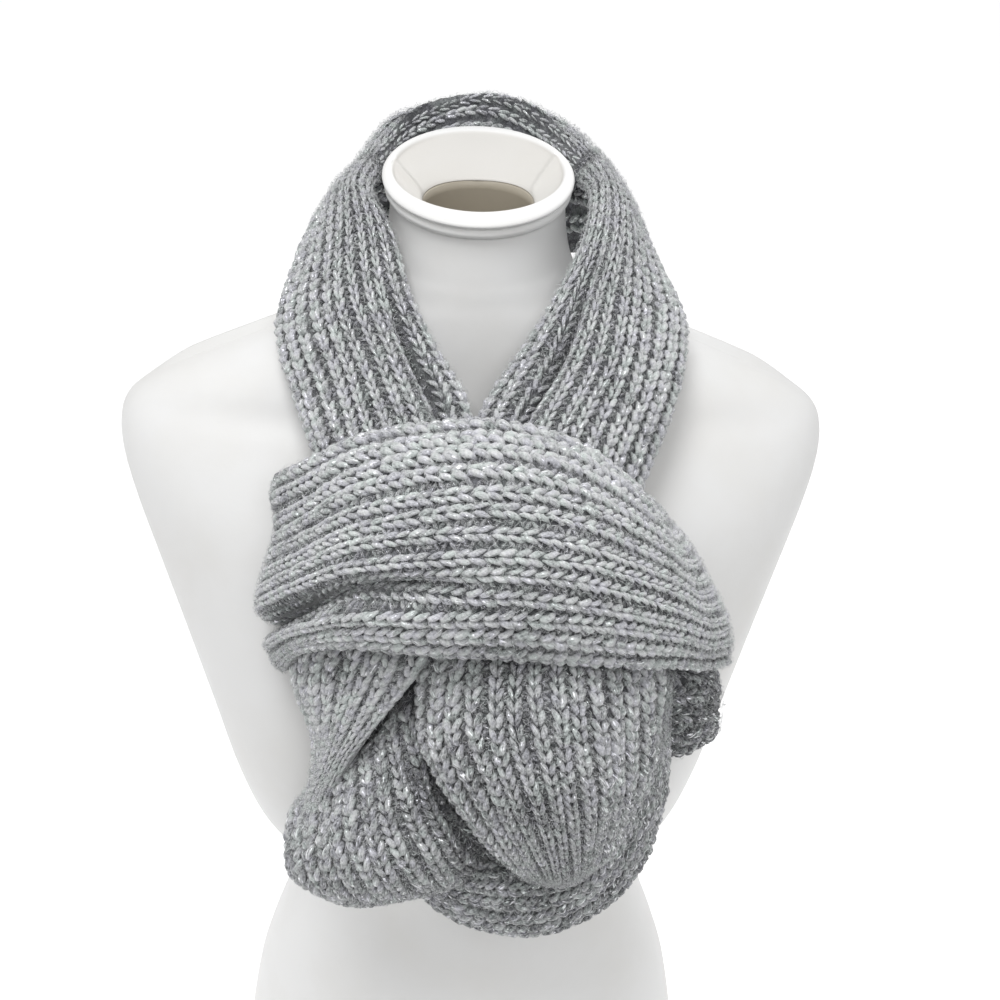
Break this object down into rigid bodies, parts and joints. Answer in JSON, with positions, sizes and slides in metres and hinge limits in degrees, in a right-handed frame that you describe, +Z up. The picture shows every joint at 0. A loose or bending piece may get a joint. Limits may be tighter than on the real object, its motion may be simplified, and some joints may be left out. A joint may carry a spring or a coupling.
{
  "type": "infinity scarf on a limbless dress form",
  "caption": "Chunky rib-knit infinity scarf, looped round the neck of a limbless dress form and gathered into a folded bunch on its chest.",
  "frame": {"origin": "middle of the dress form's flat base, on the surface that it stands on", "axes": "+Z up along the form; -Y towards the front, where the scarf is gathered; +X to the right in the front view"},
  "size_m": [0.408, 0.3387, 0.6913],
  "materials": {
    "rib_knit": "mid-grey bulky rib knit with a fine silver thread and a slight halo of fibres",
    "form_plastic": "smooth white moulded plastic with a soft sheen"
  },
  "bodies": {
    "root": {"form_torso": "form_plastic", "form_flange": "form_plastic", "scarf_back_neck": "rib_knit", "scarf_front_left": "rib_knit", "scarf_front_right": "rib_knit", "scarf_band": "rib_knit", "scarf_pull_left": "rib_knit", "scarf_lobe_left": "rib_knit", "scarf_lobe_right": "rib_knit", "scarf_bottom_edge": "rib_knit", "scarf_tail_right": "rib_knit", "scarf_bunch_inside": "rib_knit"}
  },
  "joints": []
}
